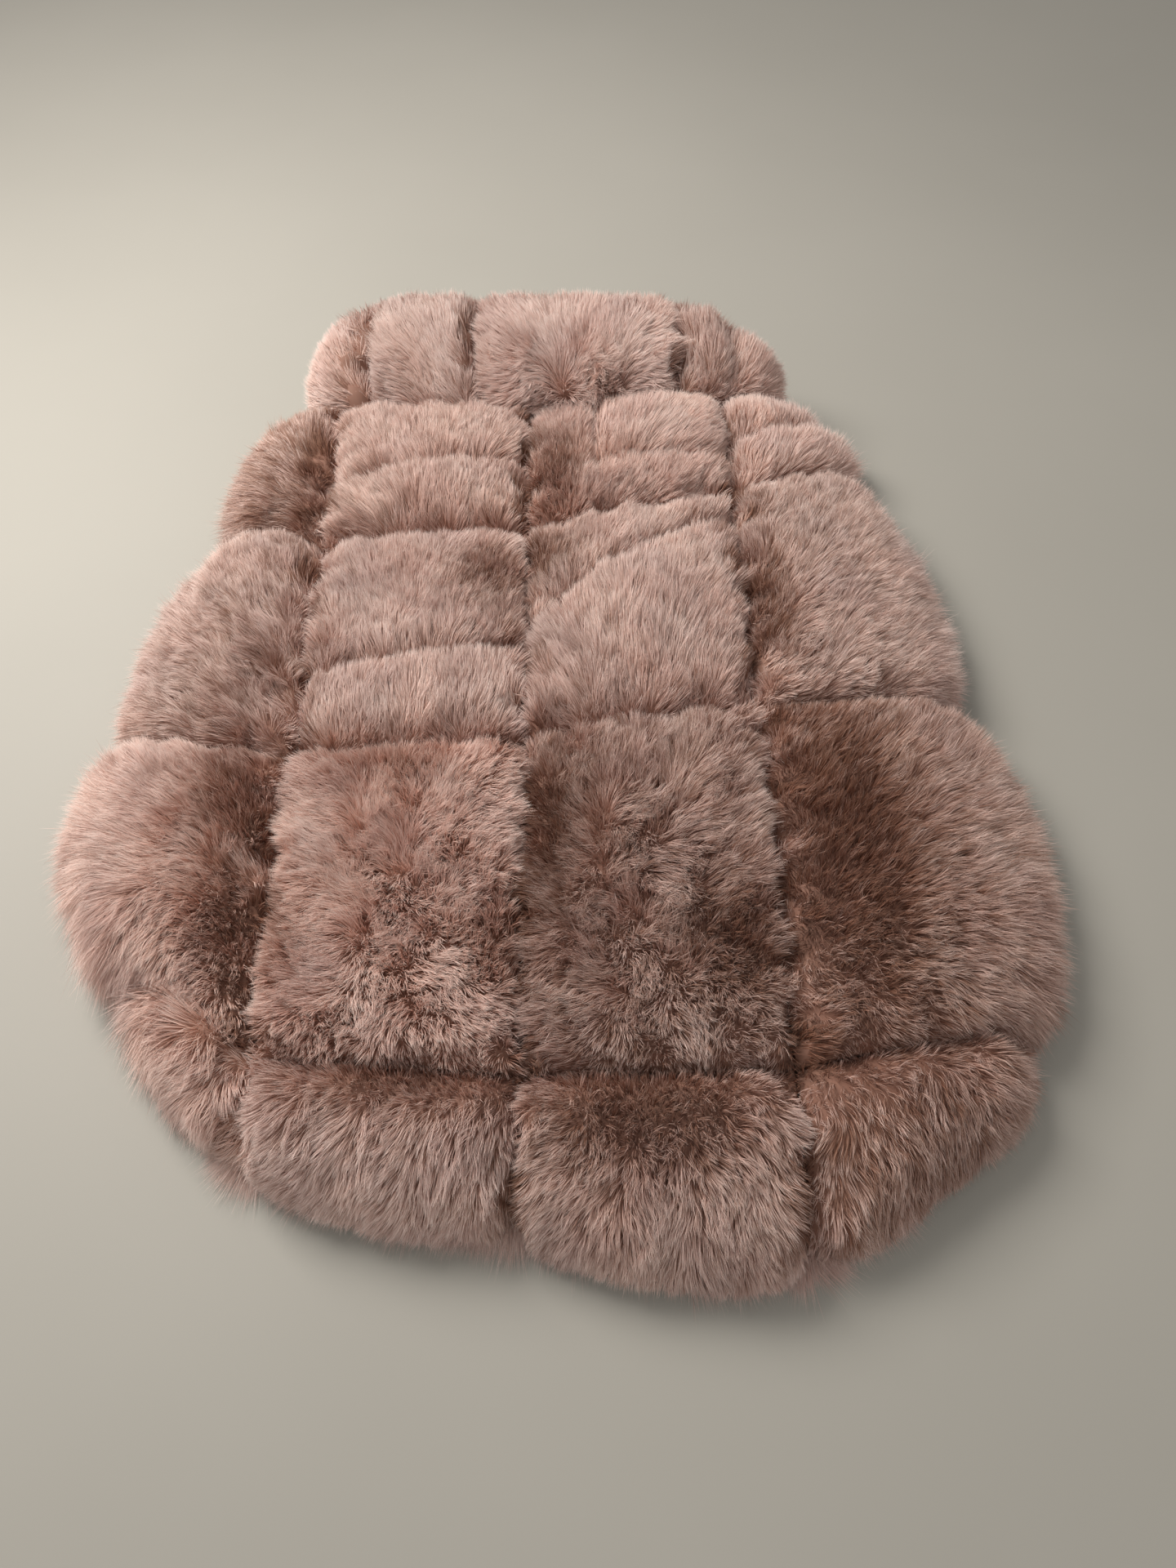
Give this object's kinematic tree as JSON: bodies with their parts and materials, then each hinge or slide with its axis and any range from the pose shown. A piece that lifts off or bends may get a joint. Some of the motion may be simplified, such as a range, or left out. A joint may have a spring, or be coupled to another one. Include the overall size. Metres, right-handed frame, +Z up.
{
  "type": "faux-fur dog coat",
  "caption": "Soft faux-fur coat for a small dog, pieced in a grid with a stand collar, lying belly-down; a belly flap opens at the side seam.",
  "frame": {"origin": "centre of the coat's footprint, on the surface it lies on", "axes": "+Y towards the neck, +Z up, +X towards the coat's right side as seen from the tail"},
  "size_m": [0.3853, 0.4516, 0.0732],
  "materials": {
    "fur": "long soft pile, dusty pink",
    "fur_under": "long soft pile, dusty pink",
    "satin_lining": "satin weave",
    "rib_knit": "rib knit, matte",
    "rib_cuff": "rib knit, matte",
    "loop_tape": "brushed loops, matte",
    "hook_tape": "fine hooks, satin",
    "elastic": "woven elastic, matte",
    "label": "smooth woven, matte",
    "satin_tape": "satin tape"
  },
  "bodies": {
    "coat": {"fur_tail_left_side": "fur", "fur_tail_left_back": "fur", "fur_tail_right_back": "fur", "fur_tail_right_side": "fur", "fur_rump_left_side": "fur", "fur_rump_left_back": "fur", "fur_rump_right_back": "fur", "fur_rump_right_side": "fur", "fur_saddle_left_side": "fur", "fur_saddle_left_back": "fur", "fur_saddle_right_back": "fur", "fur_saddle_right_side": "fur", "fur_shoulder_left_side": "fur", "fur_shoulder_left_back": "fur", "fur_shoulder_right_back": "fur", "fur_shoulder_right_side": "fur", "collar_fur_left_end": "fur", "collar_fur_left": "fur", "collar_fur_centre": "fur", "collar_fur_right": "fur", "throat_fur_left": "fur_under", "throat_fur_right": "fur_under", "hem_facing_left": "fur_under", "hem_facing_tail": "fur_under", "hem_facing_right": "fur_under", "throat_lining": "satin_lining", "collar_lining": "satin_lining", "back_lining": "satin_lining", "chest_panel": "rib_knit", "leg_cuff_left": "rib_cuff", "leg_cuff_right": "rib_cuff", "belly_panel": "rib_knit", "loop_tape": "loop_tape", "care_label": "label", "hang_loop": "satin_tape"},
    "belly_flap": {"belly_flap": "rib_knit", "hook_tape": "hook_tape", "flap_elastic": "elastic"}
  },
  "joints": [
    {"name": "belly_flap_hinge", "type": "hinge", "parent": "coat", "child": "belly_flap", "pos_m": [0.149, -0.0092, 0.0012], "axis": [0.1305, -0.9915, 0], "range_deg": [0, 165]}
  ]
}
